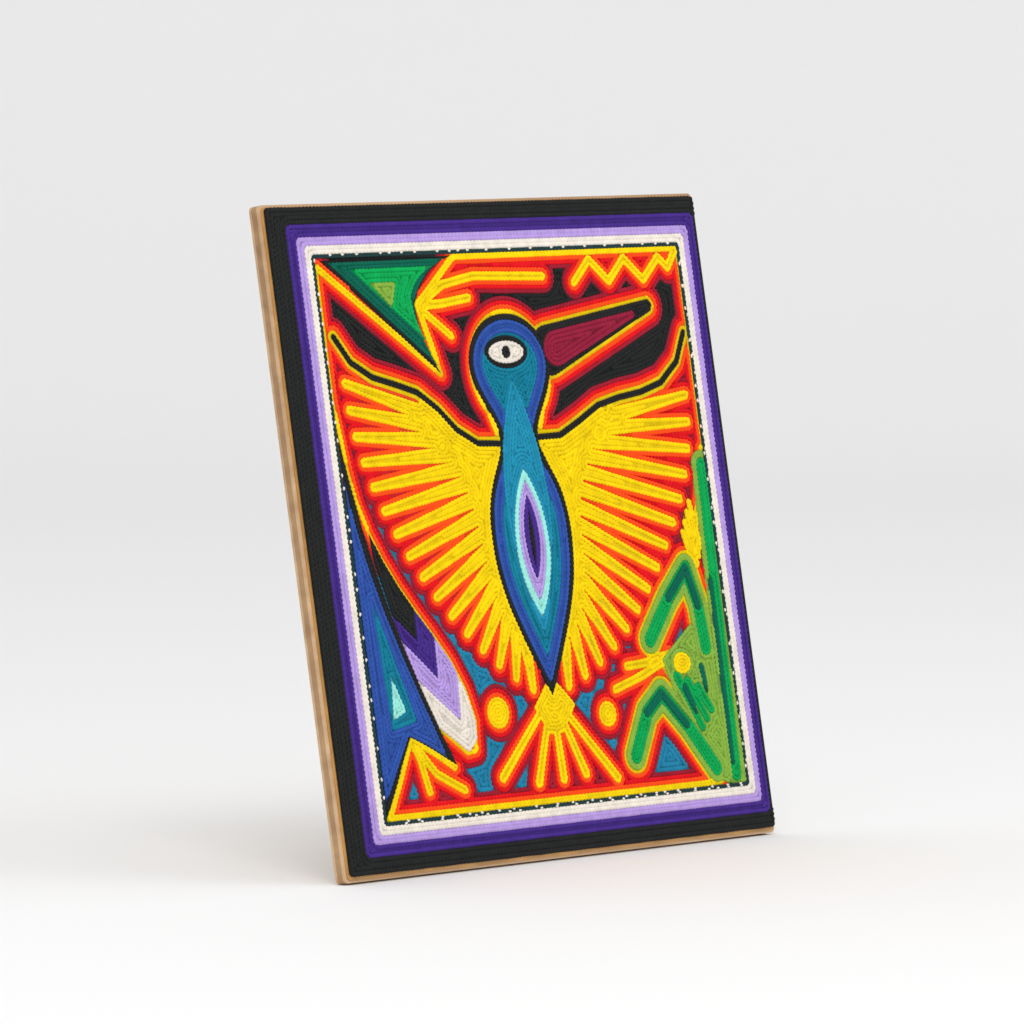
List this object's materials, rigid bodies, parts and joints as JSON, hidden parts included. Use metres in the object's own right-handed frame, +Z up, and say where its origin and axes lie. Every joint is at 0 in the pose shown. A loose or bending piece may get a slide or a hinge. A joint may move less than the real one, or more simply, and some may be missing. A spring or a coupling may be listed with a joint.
{
  "type": "yarn painting panel",
  "caption": "Small square plywood panel faced with coloured yarn laid in wax as a bird in a striped border, leaning on a hinged easel strut.",
  "frame": {"origin": "on the floor, in the middle of the box the standing panel fills", "axes": "+Z up; the yarn face looks along -Y, leaning back; +X runs along the bottom edge, to the right of someone facing the picture"},
  "size_m": [0.152, 0.0456, 0.1542],
  "materials": {
    "black": "spun acrylic yarn pressed into wax",
    "purple": "spun acrylic yarn pressed into wax",
    "lilac": "spun acrylic yarn pressed into wax",
    "white": "spun acrylic yarn pressed into wax",
    "dark_line": "spun acrylic yarn pressed into wax",
    "yellow": "spun acrylic yarn pressed into wax",
    "orange": "spun acrylic yarn pressed into wax",
    "red": "spun acrylic yarn pressed into wax",
    "dark_red": "spun acrylic yarn pressed into wax",
    "maroon": "spun acrylic yarn pressed into wax",
    "blue": "spun acrylic yarn pressed into wax",
    "teal": "spun acrylic yarn pressed into wax",
    "turquoise": "spun acrylic yarn pressed into wax",
    "mint": "spun acrylic yarn pressed into wax",
    "dark_green": "spun acrylic yarn pressed into wax",
    "green": "spun acrylic yarn pressed into wax",
    "olive": "spun acrylic yarn pressed into wax",
    "lake": "spun acrylic yarn pressed into wax",
    "veneer": "raw rotary-cut veneer",
    "core_wood": "raw plywood core",
    "strut_wood": "raw plywood",
    "wax": "beeswax, stood in for by a soft plastic",
    "hinge_brass": "plated, lightly tarnished",
    "steel": "bright zinc plate",
    "screw_steel": "bright zinc plate"
  },
  "bodies": {
    "board": {"back_veneer": "veneer", "beak_maroon": "maroon", "bird_outline": "black", "board_screws": "screw_steel", "body_blue": "blue", "body_teal": "teal", "body_turquoise": "turquoise", "border_black": "black", "border_dark_line": "dark_line", "border_lilac": "lilac", "border_purple": "purple", "border_white": "white", "day_field": "lake", "eye_black": "black", "eye_rim": "black", "eye_white": "white", "feather_black": "black", "feather_lilac": "lilac", "feather_purple": "purple", "feather_white": "white", "front_veneer": "veneer", "hanger_screw": "screw_steel", "hanger_strap": "steel", "heart_lilac": "lilac", "heart_mint": "mint", "heart_purple": "purple", "hill_dark_green": "dark_green", "hill_green": "green", "hill_olive": "olive", "hill_outline": "black", "hinge_board_leaf": "hinge_brass", "hinge_pin": "steel", "left_wing_dark_red": "dark_red", "left_wing_orange": "orange", "left_wing_red": "red", "left_wing_yellow": "yellow", "lines_dark_red": "dark_red", "lines_orange": "orange", "lines_red": "red", "lines_yellow": "yellow", "night_field": "black", "plant_dark_green": "dark_green", "plant_green": "green", "plant_olive": "olive", "plant_seed": "yellow", "ply_core": "core_wood", "right_wing_dark_red": "dark_red", "right_wing_orange": "orange", "right_wing_red": "red", "right_wing_yellow": "yellow", "spike_blue": "blue", "spike_mint": "mint", "spike_outline": "black", "spike_teal": "teal", "wax_bed": "wax", "wing_contours": "black"},
    "strut": {"easel_strut": "strut_wood", "hinge_strut_leaf": "hinge_brass", "strut_screws": "screw_steel"},
    "ring": {"hanger_ring": "steel"}
  },
  "joints": [
    {"name": "strut_hinge", "type": "hinge", "parent": "board", "child": "strut", "pos_m": [0, 0.00042, 0.09813], "axis": [1, 0, 0], "range_deg": [-20, 0]},
    {"name": "ring_swing", "type": "hinge", "parent": "board", "child": "ring", "pos_m": [0, 0.00692, 0.13557], "axis": [1, 0, 0], "range_deg": [-10, 170]}
  ]
}
